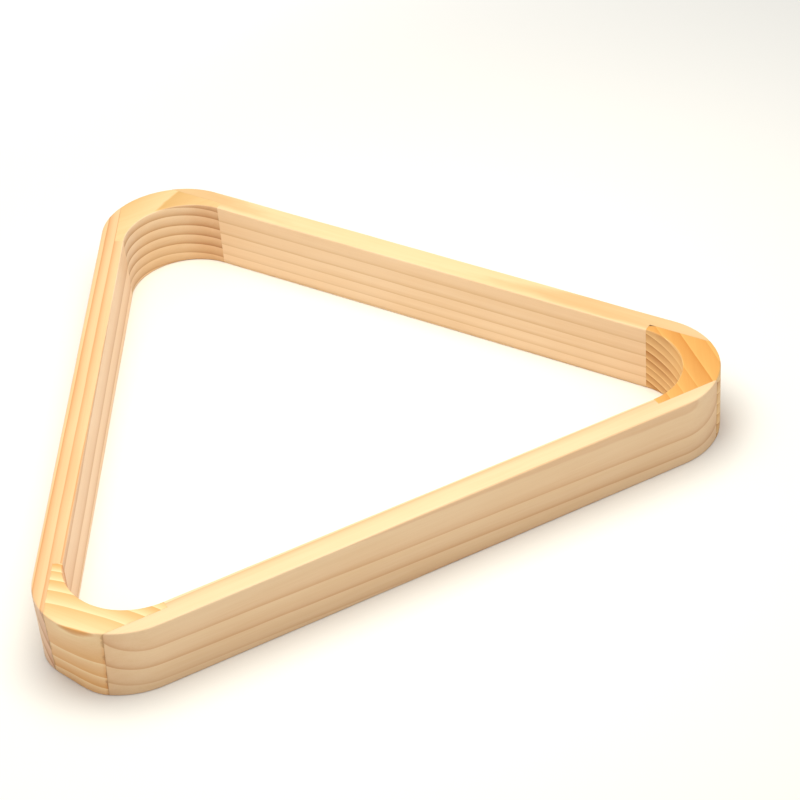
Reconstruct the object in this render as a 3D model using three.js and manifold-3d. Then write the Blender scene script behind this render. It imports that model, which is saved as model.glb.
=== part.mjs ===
// Wooden triangle rack for fifteen pool balls, in millimetres, +Z up.
//
// Three softwood rails stand on edge round an equilateral opening. The inner side of each rail
// is rebated at both ends. A corner block, with its grain running across the corner, is glued
// into the two rebates that meet there. The glued-up frame is then cut round at the corners,
// inside and out, and its edges are eased.
//
// The origin is the middle of the bounding box, on the table. The base rail runs along X at the
// -Y side, and the apex corner points along +Y.

import * as THREE from 'three';
import { mergeVertices } from 'three/addons/utils/BufferGeometryUtils.js';
import Module from 'manifold-3d';

// Driving dimensions
const BALL_DIAMETER = 57.15;
const BALL_ROWS = 5;
const RACKING_SLACK = 1.0; // spare length along each side of the opening
const RAIL_THICKNESS = 11.4;
const RAIL_HEIGHT = 32.2;
const OUTER_CORNER_RADIUS = 35;
const REBATE_DEPTH = 4.2; // how far a corner block is let into the inner face of a rail
const GLUE_GAP = 0.3; // clear space between a corner block and the rails
const EASED_EDGE = 0.7; // radius on every long edge of the finished frame

// How finely round shapes are divided
const CORNER_SEGMENTS = 24;
const EASED_EDGE_SEGMENTS = 2;

// Sizes worked out from the driving dimensions
const ROOT3 = Math.sqrt(3);
const THIRD_TURN = (2 * Math.PI) / 3;
const INNER_CORNER_RADIUS = BALL_DIAMETER / 2;
const INNER_SIDE = (BALL_ROWS - 1 + ROOT3) * BALL_DIAMETER + RACKING_SLACK;
const INNER_APOTHEM = INNER_SIDE / (2 * ROOT3); // rack centre to the inner face of a rail
const OUTER_APOTHEM = INNER_APOTHEM + RAIL_THICKNESS;
const SHOULDER = INNER_SIDE / 2 - INNER_CORNER_RADIUS * ROOT3; // rail middle to a rebate's shoulder
const RAIL_MIDDLE = -(INNER_APOTHEM + OUTER_APOTHEM) / 2; // Y of the base rail from the rack centre
const BLOCK_MIDDLE = 2 * (OUTER_APOTHEM - OUTER_CORNER_RADIUS); // Y of the apex corner's rounding
const BOX_CENTRE_Y = (OUTER_APOTHEM - OUTER_CORNER_RADIUS) / 2; // Y of the box from the rack centre
const CUT_MARGIN = 5; // how far a cutting prism runs past the frame

const wasm = await Module();
wasm.setup();

// A closed three.js geometry as a manifold-3d solid.
function solidOf(geometry) {
  const bare = new THREE.BufferGeometry();
  const loose = geometry.index ? geometry.toNonIndexed() : geometry;
  bare.setAttribute('position', loose.getAttribute('position'));
  const merged = mergeVertices(bare, 1e-4);
  return new wasm.Manifold(
    new wasm.Mesh({
      numProp: 3,
      vertProperties: merged.attributes.position.array,
      triVerts: new Uint32Array(merged.index.array),
    }),
  );
}

// A manifold-3d solid as a three.js geometry.
function geometryOf(solid) {
  const mesh = solid.getMesh();
  const geometry = new THREE.BufferGeometry();
  geometry.setAttribute('position', new THREE.BufferAttribute(mesh.vertProperties, 3));
  geometry.setIndex(new THREE.BufferAttribute(mesh.triVerts, 1));
  const shaded = geometry.toNonIndexed();
  shaded.computeVertexNormals();
  return shaded;
}

// The outline of a triangle with one corner up and rounded corners, round the rack centre.
function roundedTriangle(apothem, radius) {
  const outline = [];
  for (let corner = 0; corner < 3; corner += 1) {
    const towards = Math.PI / 2 + corner * THIRD_TURN;
    const centre = new THREE.Vector2(Math.cos(towards), Math.sin(towards));
    centre.multiplyScalar(2 * (apothem - radius));
    for (let step = 0; step <= CORNER_SEGMENTS; step += 1) {
      const angle = towards + (step / CORNER_SEGMENTS - 0.5) * THIRD_TURN;
      outline.push(
        new THREE.Vector2(centre.x + radius * Math.cos(angle), centre.y + radius * Math.sin(angle)),
      );
    }
  }
  return outline;
}

// The whole glued-up frame with its eased edges, before it is told apart into rails and blocks.
function frameSolid() {
  const shape = new THREE.Shape(roundedTriangle(OUTER_APOTHEM, OUTER_CORNER_RADIUS));
  shape.holes.push(new THREE.Path(roundedTriangle(INNER_APOTHEM, INNER_CORNER_RADIUS)));
  const geometry = new THREE.ExtrudeGeometry(shape, {
    depth: RAIL_HEIGHT - 2 * EASED_EDGE,
    bevelEnabled: true,
    bevelThickness: EASED_EDGE,
    bevelSize: EASED_EDGE,
    bevelOffset: -EASED_EDGE,
    bevelSegments: EASED_EDGE_SEGMENTS,
  });
  geometry.translate(0, 0, EASED_EDGE);
  return solidOf(geometry);
}

// An upright prism that runs past the top and the bottom of the frame.
function cuttingPrism(outline) {
  const geometry = new THREE.ExtrudeGeometry(new THREE.Shape(outline), {
    depth: RAIL_HEIGHT + 2 * CUT_MARGIN,
    bevelEnabled: false,
  });
  geometry.translate(0, 0, -CUT_MARGIN);
  return solidOf(geometry);
}

// What the base rail takes up in plan: full thickness between its shoulders, and only the outer
// part of the thickness beyond them.
function railOutline() {
  const inside = -(INNER_APOTHEM - CUT_MARGIN);
  const rebate = -(INNER_APOTHEM + REBATE_DEPTH);
  const outside = -(OUTER_APOTHEM + CUT_MARGIN);
  const end = INNER_SIDE / 2 + RAIL_THICKNESS; // past where the corner rounding stops the rail
  return [
    new THREE.Vector2(-end, outside),
    new THREE.Vector2(end, outside),
    new THREE.Vector2(end, rebate),
    new THREE.Vector2(SHOULDER, rebate),
    new THREE.Vector2(SHOULDER, inside),
    new THREE.Vector2(-SHOULDER, inside),
    new THREE.Vector2(-SHOULDER, rebate),
    new THREE.Vector2(-end, rebate),
  ];
}

// What the apex corner block takes up in plan: it runs from shoulder to shoulder along the
// bottoms of two rebates, and is smaller than them by the glue gap.
function blockOutline() {
  const centre = new THREE.Vector2();
  const end = SHOULDER + GLUE_GAP;
  const seat = INNER_APOTHEM + REBATE_DEPTH - GLUE_GAP;
  const inside = INNER_APOTHEM - CUT_MARGIN;
  // Drawn against the base rail, then turned to the right and the left rail.
  const onRightRail = [new THREE.Vector2(end, -inside), new THREE.Vector2(end, -seat)];
  const onLeftRail = [new THREE.Vector2(-end, -seat), new THREE.Vector2(-end, -inside)];
  onRightRail.forEach((point) => point.rotateAround(centre, THIRD_TURN));
  onLeftRail.forEach((point) => point.rotateAround(centre, -THIRD_TURN));
  return [...onRightRail, new THREE.Vector2(0, 2 * seat), ...onLeftRail];
}

// Pale softwood, a little different in colour from one board to the next.
function wood(colour) {
  return new THREE.MeshStandardMaterial({ color: colour, roughness: 0.55, metalness: 0 });
}

// A mesh whose own origin lies the given distance along Y from the rack centre.
function placed(name, solid, distance, colour) {
  const geometry = geometryOf(solid);
  geometry.translate(0, -distance, 0);
  const mesh = new THREE.Mesh(geometry, wood(colour));
  mesh.name = name;
  mesh.position.y = distance;
  return mesh;
}

const frame = frameSolid();
const railSolid = frame.intersect(cuttingPrism(railOutline()));
const blockSolid = frame.intersect(cuttingPrism(blockOutline()));

// Each third of the rack holds one rail and the corner block opposite it.
const THIRDS = [
  { rail: 'base_rail', railColour: 0xe2bd8c, block: 'apex_corner_block', blockColour: 0xe6b877 },
  { rail: 'right_rail', railColour: 0xf0cfa2, block: 'left_corner_block', blockColour: 0xe9bd7c },
  { rail: 'left_rail', railColour: 0xeec795, block: 'right_corner_block', blockColour: 0xe3a662 },
];

const rack = new THREE.Group();
rack.position.y = -BOX_CENTRE_Y;
THIRDS.forEach((third, index) => {
  const group = new THREE.Group();
  group.rotation.z = index * THIRD_TURN;
  group.add(placed(third.rail, railSolid, RAIL_MIDDLE, third.railColour));
  group.add(placed(third.block, blockSolid, BLOCK_MIDDLE, third.blockColour));
  rack.add(group);
});

const root = new THREE.Group();
root.add(rack);

export default root;
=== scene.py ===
"""Looks for the wooden triangle rack: finely eased rails and corner blocks, in procedural pine.

Each third of the rack holds one rail and the corner block opposite it. Both are built in that
third's own frame, which has the rack centre as its origin, X along the rail and the block's
grain, Y from the rail towards the block, and Z up. The third is then turned into place.
"""

import math
from dataclasses import dataclass

import bmesh
import bpy
from mathutils import Euler, Matrix, Vector, noise


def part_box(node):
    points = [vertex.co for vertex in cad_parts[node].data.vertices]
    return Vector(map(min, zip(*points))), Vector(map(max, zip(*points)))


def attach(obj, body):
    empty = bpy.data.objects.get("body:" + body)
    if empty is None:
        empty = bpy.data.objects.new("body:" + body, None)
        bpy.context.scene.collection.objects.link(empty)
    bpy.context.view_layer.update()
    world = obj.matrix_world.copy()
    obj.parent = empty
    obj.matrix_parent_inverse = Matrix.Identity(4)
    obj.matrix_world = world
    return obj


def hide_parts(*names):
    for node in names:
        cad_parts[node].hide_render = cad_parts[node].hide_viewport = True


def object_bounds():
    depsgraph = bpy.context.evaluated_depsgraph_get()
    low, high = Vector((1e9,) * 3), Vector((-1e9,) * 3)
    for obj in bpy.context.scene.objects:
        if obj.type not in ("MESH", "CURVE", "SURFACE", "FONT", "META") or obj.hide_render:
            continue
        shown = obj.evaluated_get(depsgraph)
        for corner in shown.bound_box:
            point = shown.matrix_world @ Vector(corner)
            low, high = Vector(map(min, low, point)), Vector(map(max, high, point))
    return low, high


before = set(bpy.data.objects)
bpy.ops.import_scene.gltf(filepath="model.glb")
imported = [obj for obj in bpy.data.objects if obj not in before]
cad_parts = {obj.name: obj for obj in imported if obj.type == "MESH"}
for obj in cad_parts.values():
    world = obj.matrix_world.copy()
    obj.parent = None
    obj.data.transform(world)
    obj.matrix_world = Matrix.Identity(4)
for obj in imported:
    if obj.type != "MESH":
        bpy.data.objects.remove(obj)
cad_low, cad_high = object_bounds()

# ---------------------------------------------------------------------------------------------
# Sizes, in metres. What the frame holds is read from it.

MM = 0.001
ROOT3 = math.sqrt(3)
THIRD_TURN = math.radians(120)
SIXTH_TURN = THIRD_TURN / 2

BALL_RADIUS = 28.575 * MM  # the inner corners are cut to the radius of the balls
REBATE_DEPTH = 4.2 * MM  # how far a corner block is let into the inner face of a rail
SEAM_GAP = 0.03 * MM  # what is left open of a tight glued joint
EASING = 0.7 * MM  # usual radius on the finished edges
EASING_WANDER = 0.35  # share by which hand sanding changes that radius along an edge
EASING_WANDER_LENGTH = 22 * MM
SHORT_WING = 1.2 * MM  # from the tip of the right block's worse wing to the bottom of its rebate
SHORT_WING_SHARE = 0.12  # share of the wing that is drawn back to there

# The left corner was sanded further by hand. At the top and at the base: how deep at most, how
# far that is from the corner's middle towards the base rail, and how far it reaches from there.
SANDED_TOP = (1.35 * MM, 9 * MM, 35 * MM)
SANDED_BASE = (2.4 * MM, -6 * MM, 20 * MM)

box_width = cad_high.x - cad_low.x
box_depth = cad_high.y - cad_low.y
HEIGHT = cad_high.z
rail_low, rail_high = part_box("base_rail")
THICKNESS = rail_high.y - rail_low.y

# A rounded triangle's box is 3 * apothem - radius deep, and
# 2 * ROOT3 * (apothem - radius) + 2 * radius wide.
OUTER_APOTHEM = (box_width - 2 * (ROOT3 - 1) * box_depth) / (6 - 4 * ROOT3)
OUTER_RADIUS = 3 * OUTER_APOTHEM - box_depth
INNER_APOTHEM = OUTER_APOTHEM - THICKNESS
REBATE_APOTHEM = INNER_APOTHEM + REBATE_DEPTH
CENTRE = Vector((0, cad_low.y + OUTER_APOTHEM, 0))
OUTER_ARC_CENTRE = 2 * (OUTER_APOTHEM - OUTER_RADIUS)  # rack centre to a corner's arc centre
INNER_ARC_CENTRE = 2 * (INNER_APOTHEM - BALL_RADIUS)
SHOULDER = ROOT3 / 2 * INNER_ARC_CENTRE  # rail middle to the shoulder of its rebate

# How finely the meshes are divided
EASING_STEPS = 4
WALL_ROWS = 5
ARC_STEP = math.radians(2)
STRAIGHT_STEP = 4 * MM
HALVINGS = 26  # of a range of angles, to find where two faces meet
SAME_PLACE = 0.001 * MM  # points closer than this are one
SHARP_ANGLE = math.radians(40)  # faces that meet at more than this aren't shaded as one
LARGE_FACES_FIRST = 100  # weight that keeps the shading of large faces flat beside an easing


# ---------------------------------------------------------------------------------------------
# Meshes. A piece is a grid of cells in plan, drawn up through a number of levels. Its plan gives
# the place of a grid point for an inset, which says how far the easing at that level draws the
# finished faces back, and a height, which matters where a corner was sanded.


def wander(x, salt):
    """A smooth change of the easing along a piece, from about -1 to 1."""
    return noise.noise(Vector((x / EASING_WANDER_LENGTH, 0, salt)))


def levels(x, third):
    """(inset, height, edge) from the base to the top. edge is 1 in the middle of an easing."""
    low_salt = 7.3 * third
    high_salt = low_salt + 3.1
    low = EASING * (1 + EASING_WANDER * wander(x, low_salt))
    high = EASING * (1 + EASING_WANDER * wander(x, high_salt))
    turns = [math.pi / 2 * step / EASING_STEPS for step in range(EASING_STEPS + 1)]
    foot = [(low * (1 - math.sin(a)), low * (1 - math.cos(a)), math.sin(2 * a)) for a in turns]
    head = [
        (high * (1 - math.sin(a)), HEIGHT - high * (1 - math.cos(a)), math.sin(2 * a))
        for a in reversed(turns)
    ]
    rise = (HEIGHT - high - low) / WALL_ROWS
    wall = [(0, low + rise * row, 0) for row in range(1, WALL_ROWS)]
    return foot + wall + head


def sanded(along, z):
    """How deep the left corner was sanded, at a distance from its middle towards the base rail."""

    def hollow(depth, middle, reach):
        return depth * math.cos(math.pi / 2 * min(1, abs(along - middle) / reach)) ** 2

    top, base = hollow(*SANDED_TOP), hollow(*SANDED_BASE)
    return base + (top - base) * z / HEIGHT


def piece_mesh(name, third, stations, columns, plan, is_solid, is_finished):
    """The closed mesh of a piece whose plan is the solid cells of a grid.

    Its vertices' edge is 1 in the middle of the eased edges of its finished faces, and fades to 0.
    """
    mesh_builder = bmesh.new()
    edge_layer = mesh_builder.verts.layers.float.new("edge")
    turn = Matrix.Translation(CENTRE) @ Matrix.Rotation(third * THIRD_TURN, 4, "Z")
    made = {}

    def vertex(i, j, k):
        if (i, j, k) not in made:
            along, _ = plan(i, j, 0, 0)
            inset, z, edge = levels(along, third)[k]
            x, y = plan(i, j, inset, z)
            made[i, j, k] = mesh_builder.verts.new(turn @ Vector((x, y, z)))
            made[i, j, k][edge_layer] = edge if is_finished(i, j) else 0
        return made[i, j, k]

    def solid(i, j):
        return 0 <= i < stations - 1 and 0 <= j < columns - 1 and is_solid(i, j)

    top = len(levels(0, third)) - 1
    for i in range(stations - 1):
        for j in range(columns - 1):
            if not solid(i, j):
                continue
            corners = [(i, j), (i + 1, j), (i + 1, j + 1), (i, j + 1)]
            mesh_builder.faces.new([vertex(*corner, top) for corner in corners])
            mesh_builder.faces.new([vertex(*corner, 0) for corner in reversed(corners)])
            beyond = [(i, j - 1), (i + 1, j), (i, j + 1), (i - 1, j)]
            for side in range(4):
                if solid(*beyond[side]):
                    continue
                a, b = corners[side], corners[(side + 1) % 4]
                for k in range(top):
                    wall = [vertex(*a, k), vertex(*b, k), vertex(*b, k + 1), vertex(*a, k + 1)]
                    mesh_builder.faces.new(wall)
    bmesh.ops.remove_doubles(mesh_builder, verts=mesh_builder.verts, dist=SAME_PLACE)
    bmesh.ops.dissolve_degenerate(mesh_builder, edges=mesh_builder.edges, dist=SAME_PLACE)
    bmesh.ops.recalc_face_normals(mesh_builder, faces=mesh_builder.faces)
    mesh = bpy.data.meshes.new(name)
    mesh_builder.to_mesh(mesh)
    mesh_builder.free()
    return mesh


def spread(start, end, step):
    """Evenly spaced values from start to end, no further apart than step."""
    count = max(1, math.ceil(abs(end - start) / step))
    return [start + (end - start) * i / count for i in range(count + 1)]


# A rail, as the base rail: its outside faces -Y, and its middle is at X = 0.
RAIL_COLUMNS = 7
REBATE_COLUMN = 4  # of the grid points on the line of the rebates' bottoms
ARC_X = ROOT3 / 2 * OUTER_ARC_CENTRE
ARC_Y = -OUTER_ARC_CENTRE / 2
ARC_START = math.radians(-90)  # where the rounding of the +X corner starts on the rail
ARC_MIDDLE = math.radians(-30)  # the middle of that corner
LEFT_CORNER_ENDS = {(0, -1): 1, (2, 1): -1}  # (third, side) of its rails: 1 for the base rail


def rail_stations():
    """(kind, value, side) along a rail: value is an X if the kind is straight, and a share of a
    round end if it is arc. side is -1 or 1, for the half of the rail towards -X or +X."""
    tip = rail_tip_angle(lambda angle: 0)
    arc = [("arc", share) for share in spread(0, 1, ARC_STEP / (tip - ARC_START))]
    middle = [("straight", x) for x in spread(0, SHOULDER, STRAIGHT_STEP)]
    end = [("straight", x) for x in spread(SHOULDER, ARC_X, STRAIGHT_STEP)]
    half = middle + end[1:] + arc[1:]
    mirrored = [(kind, value, -1) for kind, value in reversed(half[1:])]
    return mirrored + [(kind, value, 1) for kind, value in half]


def rail_tip_angle(inset_at):
    """Where a rail's round end meets the line of its rebate, seen from the arc's centre.

    inset_at gives the inset at an angle of the arc.
    """
    low, high = ARC_START, ARC_MIDDLE
    for _ in range(HALVINGS):
        angle = (low + high) / 2
        if ARC_Y + (OUTER_RADIUS - inset_at(angle)) * math.sin(angle) < -REBATE_APOTHEM:
            low = angle
        else:
            high = angle
    return low


def rail_mesh(name, third):
    along = rail_stations()
    straight = [i for i, (kind, x, _) in enumerate(along) if kind == "straight"]
    shoulders = [i for i in straight if abs(along[i][1] - SHOULDER) < SAME_PLACE]

    def plan(i, j, inset, z):
        kind, value, side = along[i]
        towards_base = LEFT_CORNER_ENDS.get((third, side), 0)

        def outer_inset(from_middle):
            return inset + (sanded(towards_base * from_middle, z) if towards_base else 0)

        def inset_at(angle):
            return outer_inset(OUTER_RADIUS * (ARC_MIDDLE - angle))

        if kind == "straight":
            from_middle = OUTER_RADIUS * SIXTH_TURN + ARC_X - value
            x, outside = value, -(OUTER_APOTHEM - outer_inset(from_middle))
        else:
            angle = ARC_START + value * (rail_tip_angle(inset_at) - ARC_START)
            radius = OUTER_RADIUS - inset_at(angle)
            x = ARC_X + radius * math.cos(angle)
            outside = ARC_Y + radius * math.sin(angle)
        if j <= REBATE_COLUMN:
            return side * x, outside + (-REBATE_APOTHEM - outside) * j / REBATE_COLUMN
        inside = -(INNER_APOTHEM + inset)
        share = (j - REBATE_COLUMN) / (RAIL_COLUMNS - 1 - REBATE_COLUMN)
        return side * x, -REBATE_APOTHEM + (inside + REBATE_APOTHEM) * share

    def is_solid(i, j):
        return j < REBATE_COLUMN or shoulders[0] <= i < shoulders[1]

    def is_finished(i, j):
        return j in (0, RAIL_COLUMNS - 1)

    return piece_mesh(name, third, len(along), RAIL_COLUMNS, plan, is_solid, is_finished)


# A corner block, as the apex corner block: its grain runs along X, and its outside faces +Y.
# Its stations are rays from the centre of the inner corner's arc.
BLOCK_COLUMNS = 9


def seat_distance(ray):
    """From the inner arc's centre to where the block ends, at the bottom of a rebate."""
    return (BALL_RADIUS + REBATE_DEPTH - SEAM_GAP) / math.cos(SIXTH_TURN - abs(ray))


def outside_distance(ray, inset_at):
    """From the inner arc's centre to the rounded outside of the corner.

    inset_at gives the inset at an angle of the outer arc, from the corner's middle towards +X.
    """
    offset = OUTER_ARC_CENTRE - INNER_ARC_CENTRE
    angle = ray
    for _ in range(2):  # the second time with the inset at the angle that the first time found
        radius = OUTER_RADIUS - inset_at(angle)
        distance = offset * math.cos(ray) + math.sqrt(radius**2 - (offset * math.sin(ray)) ** 2)
        angle = math.atan2(distance * math.sin(ray), distance * math.cos(ray) - offset)
    return distance


def seam_ray(side, inset_at):
    """The ray on which the rounded outside meets the bottom of a rebate, without its sign."""
    low, high = 0, SIXTH_TURN
    for _ in range(HALVINGS):
        ray = (low + high) / 2
        if outside_distance(side * ray, inset_at) < seat_distance(ray):
            low = ray
        else:
            high = ray
    return low


def block_stations():
    """(part, share, side) across a block: share runs over half of the shown part, and then over
    the wing beyond it. side is -1 or 1, for the half towards -X or +X."""
    seam = seam_ray(1, lambda angle: 0)
    shown = spread(0, 1, ARC_STEP / seam)
    wing = spread(0, 1, ARC_STEP / (SIXTH_TURN - seam))
    half = [("shown", share) for share in shown] + [("wing", share) for share in wing[1:]]
    mirrored = [(part, share, -1) for part, share in reversed(half[1:])]
    return mirrored + [(part, share, 1) for part, share in half]


def block_mesh(name, third):
    across = block_stations()
    is_sanded = name == "left_corner_block"
    short_wing = SHORT_WING if name == "right_corner_block" else 0
    last_ray = SIXTH_TURN - SEAM_GAP / BALL_RADIUS

    def plan(i, j, inset, z):
        part, share, side = across[i]

        def inset_at(angle):
            return inset + (sanded(OUTER_RADIUS * -angle, z) if is_sanded else 0)

        edge_ray = seam_ray(side, inset_at)
        if part == "shown":
            ray = side * share * edge_ray
            outside = outside_distance(ray, inset_at)
        else:
            ray = side * (edge_ray + share * (last_ray - edge_ray))
            outside = seat_distance(ray)
            if side < 0:
                outside -= short_wing * max(0, share - 1 + SHORT_WING_SHARE) / SHORT_WING_SHARE
        inside = BALL_RADIUS + inset
        distance = inside + (outside - inside) * j / (BLOCK_COLUMNS - 1)
        return distance * math.sin(ray), INNER_ARC_CENTRE + distance * math.cos(ray)

    def is_finished(i, j):
        return j == 0 or (j == BLOCK_COLUMNS - 1 and across[i][0] == "shown")

    return piece_mesh(
        name, third, len(across), BLOCK_COLUMNS, plan, lambda i, j: True, is_finished
    )


# ---------------------------------------------------------------------------------------------
# Materials. Signal lets the wood be written as arithmetic: each step becomes a shader node.

# What all the boards share, with lengths in millimetres. The swells of a noise have a length
# along the grain and two across it. A range is where the effect of a signal starts and where it
# is full.

# Year rings
RING_SWELL = (90, 26, 26)
RING_RIPPLE = (15, 5, 5)
RIPPLE = 0.15  # how far the ripple moves a ring
HEART_RIPPLE = 0.3  # and the edge of the dark pith
HEART_RISE = 1.6  # how far the dark pith lies above the middle of the rings
HEART_EDGE = (2.8, 3.8)  # distances from its own middle between which it fades
CROWDED_YEARS = 0.22  # how much of a year is squeezed into a board's lean
LEAST_DARK = 0.7  # how dark the palest years end
CHANCE_DARK = 0.5  # how much darker the darkest years end
PITH_DARK = 0.5  # share of that darkness at the pith
LAST_RUSH = 6  # power by which the last of a year's growth darkens
YEAR_END = 0.95  # share of a year after which the colour goes back to pale

# Fibre, streaks, clouds and resin ducts
FIBRE = (22, 0.38, 0.38)
STREAK = (60, 2.6, 2.6)
CLOUD = (48, 17, 17)
DUCT = (7, 0.3, 0.3)
DUCT_RANGE = (0.45, 0.75)
DUCT_STRENGTH = 0.5
DUCT_TINT = (0.86, 0.76, 0.66)
MOTTLE_SHARES = (0.35, 0.35, 0.3)  # of fibre, streaks and clouds
MOTTLE_RANGE = (-0.5, 0.5)
MOTTLING = ((0.965, 0.93, 0.88), (1.035, 1.06, 1.10))

# Faces and edges
FLAT_RANGE = (0.6, 0.95)  # of how level a face is, for the top and the underside
END_RANGE = (0.25, 0.75)  # of how square to the grain a face is, for end grain
SIDE_RANGE = (-20, 20)  # of X, from a board's -X end to its +X end
PAINTED_SHADE_HEIGHT = 26  # height up to which painted shade darkens the wood towards the table
WEAR_AND_HIGHLIGHT_RANGE = (-0.4, 0.4)  # of the fibre's noise, for how much an edge is lightened by wear and by a painted highlight
# Lightening of the eased edges: partly sanding wear, partly a painted highlight
LEAST_WEAR_AND_HIGHLIGHT = 0.3
EDGE_WEAR_AND_HIGHLIGHT_TINT = (1.04, 1.05, 1.08)

# Glue along the joints
GLUE_TINT = (0.58, 0.52, 0.45)
GLUE_PATCH = (3.5, 3.5, 3.5)
GLUE_RANGE = (-0.5, 0.4)  # of the patches' noise, for how much glue there is
LEAST_GLUE = 0.5
GLUE_LINE = 0.2  # how far from a joint its thinnest glue shows
GLUE_SPOT = 1.3  # and how much further its thickest
GLUE_SPOT_POWER = 6  # how rare those spots are
SANDED_OFF = (0.6, 0.1)  # distances below the top between which glue was sanded off
LEFT_ON_TOP = 0.3  # share of the glue that sanding left

# Gloss and relief
ROUGHNESS = 0.55
FIBRE_ROUGHNESS = 0.06
HARD_ROUGHNESS = -0.08  # what late growth adds to the roughness, and so does a worn edge
FIBRE_RELIEF = 0.5  # height of the fibre in the relief, beside 1 for late growth
RELIEF_DEPTH = 0.03 * MM
SPECULAR = 0.35


class Signal:
    """A number that a material works out at each point of a surface."""

    def __init__(self, tree, socket):
        self.tree = tree
        self.socket = socket

    def math(self, operation, *others):
        node = self.tree.nodes.new("ShaderNodeMath")
        node.operation = operation
        for socket, value in zip(node.inputs, (self, *others)):
            feed(self.tree, socket, value)
        return Signal(self.tree, node.outputs[0])

    def __add__(self, other):
        return self.math("ADD", other)

    def __sub__(self, other):
        return self.math("SUBTRACT", other)

    def __mul__(self, other):
        return self.math("MULTIPLY", other)

    def __truediv__(self, other):
        return self.math("DIVIDE", other)

    def __abs__(self):
        return self.math("ABSOLUTE")

    def power(self, exponent):
        return self.math("POWER", exponent)

    def fraction(self):
        return self.math("FRACT")

    def floor(self):
        return self.math("FLOOR")

    def smooth(self, low, high, start=0.0, end=1.0):
        """Goes smoothly from start to end as this signal goes from low to high."""
        node = self.tree.nodes.new("ShaderNodeMapRange")
        node.interpolation_type = "SMOOTHSTEP"
        for socket, value in zip(node.inputs, (self, low, high, start, end)):
            feed(self.tree, socket, value)
        return Signal(self.tree, node.outputs[0])


def feed(tree, socket, value):
    """Links or sets an input, whatever the value is."""
    if isinstance(value, Signal):
        value = value.socket
    if isinstance(value, bpy.types.NodeSocket):
        tree.links.new(value, socket)
    else:
        socket.default_value = value


def noise_at(point, spacing, detail=2.0, roughness=0.5):
    """Smooth noise from about -1 to 1, whose swells are spacing apart along each of the axes."""
    tree = point[0].tree
    combine = tree.nodes.new("ShaderNodeCombineXYZ")
    for socket, value, length in zip(combine.inputs, point, spacing):
        feed(tree, socket, value / length)
    texture = tree.nodes.new("ShaderNodeTexNoise")
    texture.noise_dimensions = "3D"
    tree.links.new(combine.outputs[0], texture.inputs["Vector"])
    texture.inputs["Scale"].default_value = 1
    texture.inputs["Detail"].default_value = detail
    texture.inputs["Roughness"].default_value = roughness
    return (Signal(tree, texture.outputs["Fac"]) - 0.5) * 2


def chance(signal):
    """The same random number, from 0 to 1, wherever the signal is the same."""
    texture = signal.tree.nodes.new("ShaderNodeTexWhiteNoise")
    texture.noise_dimensions = "1D"
    feed(signal.tree, texture.inputs["W"], signal)
    return Signal(signal.tree, texture.outputs["Value"])


def tint(tree, factor, first, second, mode="MIX"):
    """A colour between the first and the second."""
    node = tree.nodes.new("ShaderNodeMix")
    node.data_type = "RGBA"
    node.blend_type = mode
    feed(tree, node.inputs["Factor"], factor)
    for socket, colour in zip((node.inputs[6], node.inputs[7]), (first, second)):
        feed(tree, socket, (*colour, 1.0) if isinstance(colour, tuple) else colour)
    return node.outputs[2]


@dataclass
class Board:
    """How one board was cut from its tree. Places are in its third's frame, in millimetres."""

    third: int
    pith: tuple  # where the middle of the tree passes, as (Y, Z) at X = 0
    ring: float  # width of a year's growth at the distance reach from the pith
    reach: float
    phase: float  # share of a year that had grown at that distance
    early: tuple  # colour of a year's first growth
    late: tuple  # colour of its last growth
    drift: tuple = (0, 0)  # how far the pith moves in Y and in Z for each unit along X
    swell: float = 0  # how quickly the years get narrower away from the pith
    lean: tuple = (0, 1)  # distances from the pith between which the years are narrower
    ripe: float = 1  # distance from the pith at which the last growth gets its full colour
    bow: tuple = (0, 0)  # how much the pith curves in Y and in Z along X
    body: float = 0.2  # how dark most of a year's growth is, beside 1 for its last part
    onset: float = 1  # a year's growth darkens early if this is low, and late if it is high
    wave: float = 0.4  # how far the rings wander
    top_late: tuple = None  # late, body and onset on the top and the underside, if they differ
    top_body: float = None
    top_onset: float = None
    flat: tuple = (1.0, 1.0, 1.0)  # painted light: tint of the top and the underside, for the colour that strong overhead light gives the level faces
    low_end: tuple = (0.97, 0.92, 0.88)  # tint of the end grain at the -X end: its own colour, and painted light where the tint is above 1
    high_end: tuple = (0.97, 0.92, 0.88)  # and at the +X end
    thirst: tuple = (0.90, 0.82, 0.76)  # further tint of the last growth on end grain
    foot: tuple = (1.0, 1.0, 1.0)  # painted shade: tint that darkens the wood towards the table
    glue: tuple = (0.25, 0.25)  # how dark the joints show at the -X and at the +X end
    salt: float = 0  # sets the board's noise apart from that of the others


def board_point(tree, board):
    """X, Y and Z in the frame of the board's third, in millimetres, as signals."""
    coordinates = tree.nodes.new("ShaderNodeTexCoord")
    place = tree.nodes.new("ShaderNodeMapping")
    place.vector_type = "TEXTURE"
    place.inputs["Location"].default_value = CENTRE
    place.inputs["Rotation"].default_value = Euler((0, 0, board.third * THIRD_TURN))
    place.inputs["Scale"].default_value = (MM, MM, MM)
    tree.links.new(coordinates.outputs["Object"], place.inputs["Vector"])
    separate = tree.nodes.new("ShaderNodeSeparateXYZ")
    tree.links.new(place.outputs[0], separate.inputs[0])
    return [Signal(tree, output) for output in separate.outputs]


def facing(tree, axis):
    """1 where the surface is square to the axis, and 0 where it runs along it."""
    geometry = tree.nodes.new("ShaderNodeNewGeometry")
    dot = tree.nodes.new("ShaderNodeVectorMath")
    dot.operation = "DOT_PRODUCT"
    tree.links.new(geometry.outputs["Normal"], dot.inputs[0])
    dot.inputs[1].default_value = axis
    return abs(Signal(tree, dot.outputs["Value"]))


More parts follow.
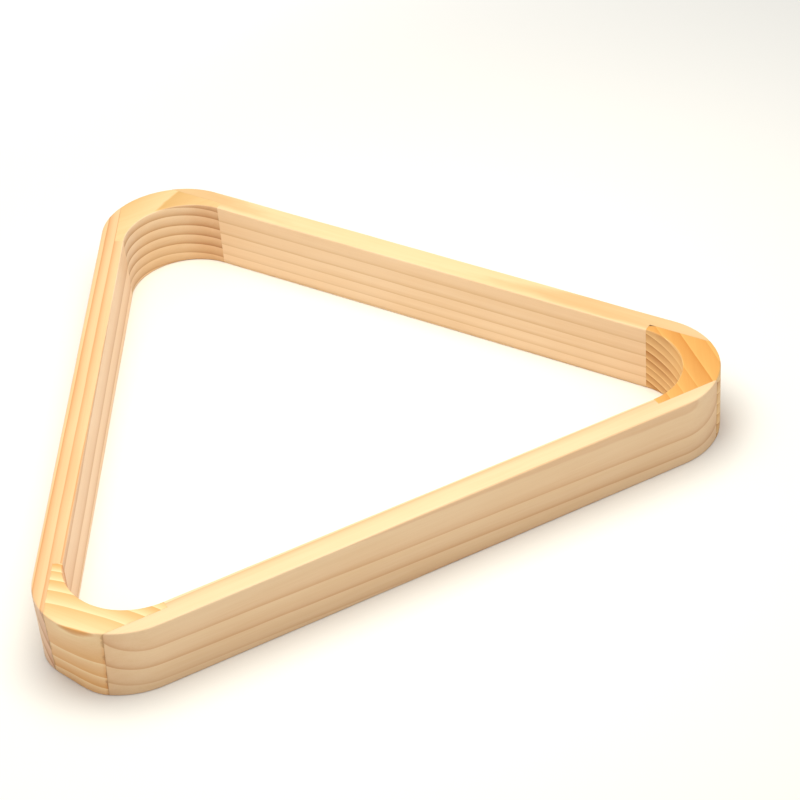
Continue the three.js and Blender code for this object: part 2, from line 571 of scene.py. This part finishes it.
def ring_signals(board, x, y, z):
    """How far into a year's growth the point is, from 0 to 1, how strongly that year is
    coloured, and how much of the dark pith shows, which is off the middle of the rings."""
    swell = noise_at((x + board.salt, y, z), RING_SWELL, detail=1.5)
    ripple = noise_at((x, y + board.salt, z), RING_RIPPLE)
    across = y - (x * board.drift[0] + board.pith[0]) - x * x * board.bow[0]
    up = z - (x * board.drift[1] + board.pith[1]) - x * x * board.bow[1]
    radius = (across.power(2) + up.power(2)).power(0.5) + swell * board.wave + ripple * RIPPLE
    beyond = radius - board.reach
    years = beyond * (beyond * board.swell + 1.0) / board.ring + board.phase
    years = years + radius.smooth(*board.lean, -CROWDED_YEARS, 0.0)
    strength = chance(years.floor() + board.salt) * CHANCE_DARK + LEAST_DARK
    strength = strength * radius.smooth(0, board.ripe, PITH_DARK)
    heart = (across.power(2) + (up - HEART_RISE).power(2)).power(0.5) + ripple * HEART_RIPPLE
    return years.fraction(), strength, heart.smooth(*HEART_EDGE, 1.0, 0.0)


def joint_distance(name, x, y):
    """From a point to the nearest glued joint of its piece, in millimetres."""
    rebate, shoulder = REBATE_APOTHEM / MM, SHOULDER / MM
    side = abs(x)
    if name in RAILS:
        return abs(y + rebate) + (side * -1 + shoulder).math("MAXIMUM", 0)
    half, tall = 0.5, ROOT3 / 2
    from_seat = side * -tall + y * -half + rebate
    from_shoulder = y * tall - side * half - shoulder
    return from_seat.math("MINIMUM", from_shoulder)


def late_growth(board, flat, growth, strength, heart):
    """How much of the colour is that of the last growth, from 0 to about 1."""
    onset = flat * ((board.top_onset or board.onset) - board.onset) + board.onset
    body = flat * ((board.top_body or board.body) - board.body) + board.body
    late = growth.power(onset) * body + growth.power(LAST_RUSH) * (body * -1 + 1)
    late = late * growth.smooth(YEAR_END, 1.0, 1.0, 0.0) * strength
    return late.math("MAXIMUM", heart)


def glue_signal(name, board, place, side):
    """How much glue shows. side goes from 0 to 1 between the board's -X and its +X end."""
    x, y, z = place
    patches = noise_at((x, y, z + board.salt), GLUE_PATCH, detail=3).smooth(*GLUE_RANGE, LEAST_GLUE)
    squeezed = side * (board.glue[1] - board.glue[0]) + board.glue[0]
    reach = patches.power(GLUE_SPOT_POWER) * squeezed * GLUE_SPOT + GLUE_LINE
    glue = joint_distance(name, x, y).smooth(0, reach, 1.0, 0.0) * patches * squeezed
    below, above = (HEIGHT / MM - depth for depth in SANDED_OFF)
    return glue * z.smooth(below, above, 1.0, LEFT_ON_TOP)


def pine(name):
    """Sanded pine for a piece: darker where a year ends, along glued joints and on end grain."""
    board = BOARDS[name]
    material = bpy.data.materials.new(f"{name}_pine")
    material.use_nodes = True
    tree = material.node_tree
    shader = tree.nodes["Principled BSDF"]
    place = board_point(tree, board)
    x, y, z = place
    flat = facing(tree, (0, 0, 1)).smooth(*FLAT_RANGE)
    late = late_growth(board, flat, *ring_signals(board, x, y, z))

    fibre = noise_at((x + board.salt, y, z), FIBRE, detail=3, roughness=0.6)
    streak = noise_at((x, y + board.salt, z), STREAK, detail=2)
    cloud = noise_at((x, y, z + board.salt), CLOUD, detail=1.5)
    duct = noise_at((x, y, z + board.salt), DUCT).smooth(*DUCT_RANGE) * DUCT_STRENGTH
    mottle = fibre * MOTTLE_SHARES[0] + streak * MOTTLE_SHARES[1] + cloud * MOTTLE_SHARES[2]
    mottling = tint(tree, mottle.smooth(*MOTTLE_RANGE), *MOTTLING)
    late_colour = tint(tree, flat, board.late, board.top_late or board.late)
    colour = tint(tree, late, board.early, late_colour)
    colour = tint(tree, 1.0, colour, mottling, "MULTIPLY")
    colour = tint(tree, duct, colour, DUCT_TINT, "MULTIPLY")

    grain = board.third * THIRD_TURN
    end = facing(tree, (math.cos(grain), math.sin(grain), 0)).smooth(*END_RANGE)
    side = x.smooth(*SIDE_RANGE)
    # End tints: the end grain's own colour, and painted light where a board's tint is above 1.
    colour = tint(tree, end, colour, tint(tree, side, board.low_end, board.high_end), "MULTIPLY")
    colour = tint(tree, end * late, colour, board.thirst, "MULTIPLY")
    # Painted light: the flat tint gives the level faces the colour that strong overhead light gives
    # them.
    colour = tint(tree, flat, colour, board.flat, "MULTIPLY")
    # Painted shade: the foot tint darkens each board towards the table.
    colour = tint(tree, z.smooth(0, PAINTED_SHADE_HEIGHT, 1.0, 0.0), colour, board.foot, "MULTIPLY")
    glue = glue_signal(name, board, place, side)
    colour = tint(tree, glue, colour, GLUE_TINT, "MULTIPLY")

    # Eased edges lighter: partly wear, partly a painted highlight.
    edge = tree.nodes.new("ShaderNodeAttribute")
    edge.attribute_name = "edge"
    wear_and_highlight = Signal(tree, edge.outputs["Fac"]) * fibre.smooth(*WEAR_AND_HIGHLIGHT_RANGE, LEAST_WEAR_AND_HIGHLIGHT)
    colour = tint(tree, wear_and_highlight, colour, EDGE_WEAR_AND_HIGHLIGHT_TINT, "MULTIPLY")

    tree.links.new(colour, shader.inputs["Base Color"])
    hard = late * HARD_ROUGHNESS + wear_and_highlight * HARD_ROUGHNESS
    feed(tree, shader.inputs["Roughness"], fibre * FIBRE_ROUGHNESS + hard + ROUGHNESS)
    bump = tree.nodes.new("ShaderNodeBump")
    bump.inputs["Distance"].default_value = RELIEF_DEPTH
    feed(tree, bump.inputs["Height"], fibre * FIBRE_RELIEF + late - duct)
    tree.links.new(bump.outputs[0], shader.inputs["Normal"])
    shader.inputs["Specular IOR Level"].default_value = SPECULAR
    return material


RAILS = ["base_rail", "right_rail", "left_rail"]
BLOCKS = ["apex_corner_block", "left_corner_block", "right_corner_block"]
BOARDS = {
    "base_rail": Board(
        third=0, pith=(-113.8, 34), drift=(0, -0.0273), ring=8.4, reach=23.85, swell=0.0058,
        phase=0.66, ripe=32, early=(0.87, 0.625, 0.38), late=(0.68, 0.37, 0.18),
        # foot is painted shade towards the table.
        foot=(0.89, 0.87, 0.85), salt=3,
    ),
    "right_rail": Board(
        third=1, pith=(-98.2, 76.7), drift=(0.0132, 0.0022), bow=(-3.3e-4, -5e-5), ring=6.24,
        reach=61.28, swell=0.0086, phase=0.30, ripe=90, early=(0.86, 0.625, 0.395),
        late=(0.62, 0.38, 0.17), flat=(1, 0.98, 0.88), wave=0.12, salt=11,
    ),
    "left_rail": Board(
        third=2, pith=(31.4, 63), drift=(-0.006, 0), ring=4.52, reach=0, phase=0.12,
        early=(0.87, 0.645, 0.44), late=(0.56, 0.27, 0.085), body=0.5, onset=1.6,
        flat=(0.98, 0.83, 0.66), high_end=(0.92, 0.78, 0.74), glue=(0.25, 0.7), salt=23,
    ),
    "apex_corner_block": Board(
        third=0, pith=(140.8, 223.5), drift=(0.026, -0.070), ring=5.43, reach=207,
        swell=0.0027, lean=(192.2, 195.7), phase=0.74, wave=0.25, early=(0.84, 0.64, 0.42),
        late=(0.50, 0.26, 0.10), body=0.6, onset=1.2, flat=(1, 0.92, 0.74),
        top_late=(0.62, 0.38, 0.13), top_body=1, top_onset=1.2,
        # foot is painted shade towards the table; low_end above 1 is painted light on the end faces
        # towards -X.
        low_end=(1, 1.04, 1.15), high_end=(0.93, 0.84, 0.77), foot=(0.92, 0.86, 0.76), salt=31,
    ),
    "left_corner_block": Board(
        third=1, pith=(179.0, 30.6), drift=(0.11, -0.03), ring=7.02, reach=16.8, swell=0.0183,
        bow=(0, -0.01), phase=0.46, early=(0.92, 0.67, 0.385), late=(0.73, 0.355, 0.11), body=1,
        onset=0.6, flat=(1.03, 1.09, 1.1), low_end=(0.93, 0.83, 0.74), glue=(0.9, 0.7), salt=47,
    ),
    "right_corner_block": Board(
        third=2, pith=(41.6, -134.8), drift=(0.022, 0.22), ring=3.76, reach=194,
        swell=-0.0077, phase=0.31, early=(0.88, 0.60, 0.27), late=(0.62, 0.27, 0.05),
        # low_end and high_end above 1 are painted light on the end faces.
        body=0.7, onset=0.45, flat=(0.93, 0.76, 0.49), low_end=(1.05, 1.1, 1.2),
        top_late=(0.69, 0.35, 0.10), top_onset=0.3,
        high_end=(1.05, 1.1, 1.2), thirst=(0.62, 0.50, 0.42), salt=59,
    ),
}


def dress(name, mesh):
    """A finished piece in place of its CAD node."""
    piece = bpy.data.objects.new(f"{name}_wood", mesh)
    bpy.context.scene.collection.objects.link(piece)
    mesh.materials.append(pine(name))
    mesh.shade_smooth()
    mesh.set_sharp_from_angle(angle=SHARP_ANGLE)
    weighted = piece.modifiers.new("flat faces", "WEIGHTED_NORMAL")
    weighted.keep_sharp = True
    weighted.weight = LARGE_FACES_FIRST
    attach(piece, "root")
    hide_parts(name)


for third, name in enumerate(RAILS):
    dress(name, rail_mesh(name, third))
for third, name in enumerate(BLOCKS):
    dress(name, block_mesh(name, third))


# ---------------------------------------------------------------------------------------------
# Camera, floor and light

FOCAL_LENGTH = 109  # in millimetres, as is the sensor's width
SENSOR_WIDTH = 36
CAMERA_TARGET = Vector((43.1, -33.3, 0)) * MM
CAMERA_DISTANCE = 1091.9 * MM
CAMERA_AZIMUTH = math.radians(-26.06)
CAMERA_ELEVATION = math.radians(37.75)
CAMERA_ROLL = math.radians(-4.95)

FLOOR_REACH = 4  # metres each way
FLOOR_DROP = 0.05 * MM  # below the rack, so that the two don't share a surface
FLOOR_WHITE = 0.90
FLOOR_ROUGHNESS = 0.9
WORLD_STRENGTH = 0.55


def camera():
    data = bpy.data.cameras.new("camera")
    data.lens = FOCAL_LENGTH
    data.sensor_width = SENSOR_WIDTH
    viewer = bpy.data.objects.new("camera", data)
    bpy.context.scene.collection.objects.link(viewer)
    away = math.cos(CAMERA_ELEVATION)
    back = Vector(
        (
            math.sin(CAMERA_AZIMUTH) * away,
            -math.cos(CAMERA_AZIMUTH) * away,
            math.sin(CAMERA_ELEVATION),
        )
    )
    viewer.location = CAMERA_TARGET + back * CAMERA_DISTANCE
    level = (-back).to_track_quat("-Z", "Y").to_matrix()
    viewer.rotation_euler = (level @ Matrix.Rotation(CAMERA_ROLL, 3, "Z")).to_euler()
    bpy.context.scene.camera = viewer


def floor():
    mesh = bpy.data.meshes.new("floor")
    mesh_builder = bmesh.new()
    bmesh.ops.create_grid(mesh_builder, x_segments=4, y_segments=4, size=FLOOR_REACH)
    mesh_builder.to_mesh(mesh)
    mesh_builder.free()
    plane = bpy.data.objects.new("floor", mesh)
    plane.location.z = -FLOOR_DROP
    bpy.context.scene.collection.objects.link(plane)
    material = bpy.data.materials.new("floor_white")
    material.use_nodes = True
    shader = material.node_tree.nodes["Principled BSDF"]
    shader.inputs["Base Color"].default_value = (FLOOR_WHITE, FLOOR_WHITE, FLOOR_WHITE, 1)
    shader.inputs["Roughness"].default_value = FLOOR_ROUGHNESS
    mesh.materials.append(material)


def softbox(name, place, aim, size, watts, colour, spread_angle):
    """A rectangular lamp that faces aim, and whose light fans out by spread_angle in degrees."""
    data = bpy.data.lights.new(name, "AREA")
    data.spread = math.radians(spread_angle)
    data.shape = "RECTANGLE"
    data.size, data.size_y = size
    data.energy = watts
    data.color = colour
    lamp = bpy.data.objects.new(name, data)
    lamp.location = place
    lamp.rotation_euler = (Vector(aim) - Vector(place)).to_track_quat("-Z", "Y").to_euler()
    bpy.context.scene.collection.objects.link(lamp)


def studio():
    """A pale room, a warm softbox over the rack, and one that whitens the floor behind it."""
    world = bpy.data.worlds.new("studio")
    world.use_nodes = True
    background = world.node_tree.nodes["Background"]
    background.inputs["Color"].default_value = (1, 1, 1, 1)
    background.inputs["Strength"].default_value = WORLD_STRENGTH
    bpy.context.scene.world = world
    bpy.context.scene.view_settings.view_transform = "Standard"
    softbox(
        "overhead", place=(0, -0.03, 0.55), aim=(0, -0.03, 0), size=(0.45, 0.45), watts=3.2,
        colour=(1, 0.95, 0.8), spread_angle=180,
    )
    softbox(
        "backdrop", place=(0.5, 1.0, 0.7), aim=(0.5, 1.0, 0), size=(1.6, 0.8), watts=12,
        colour=(1, 1, 1), spread_angle=70,
    )


camera()
floor()
studio()
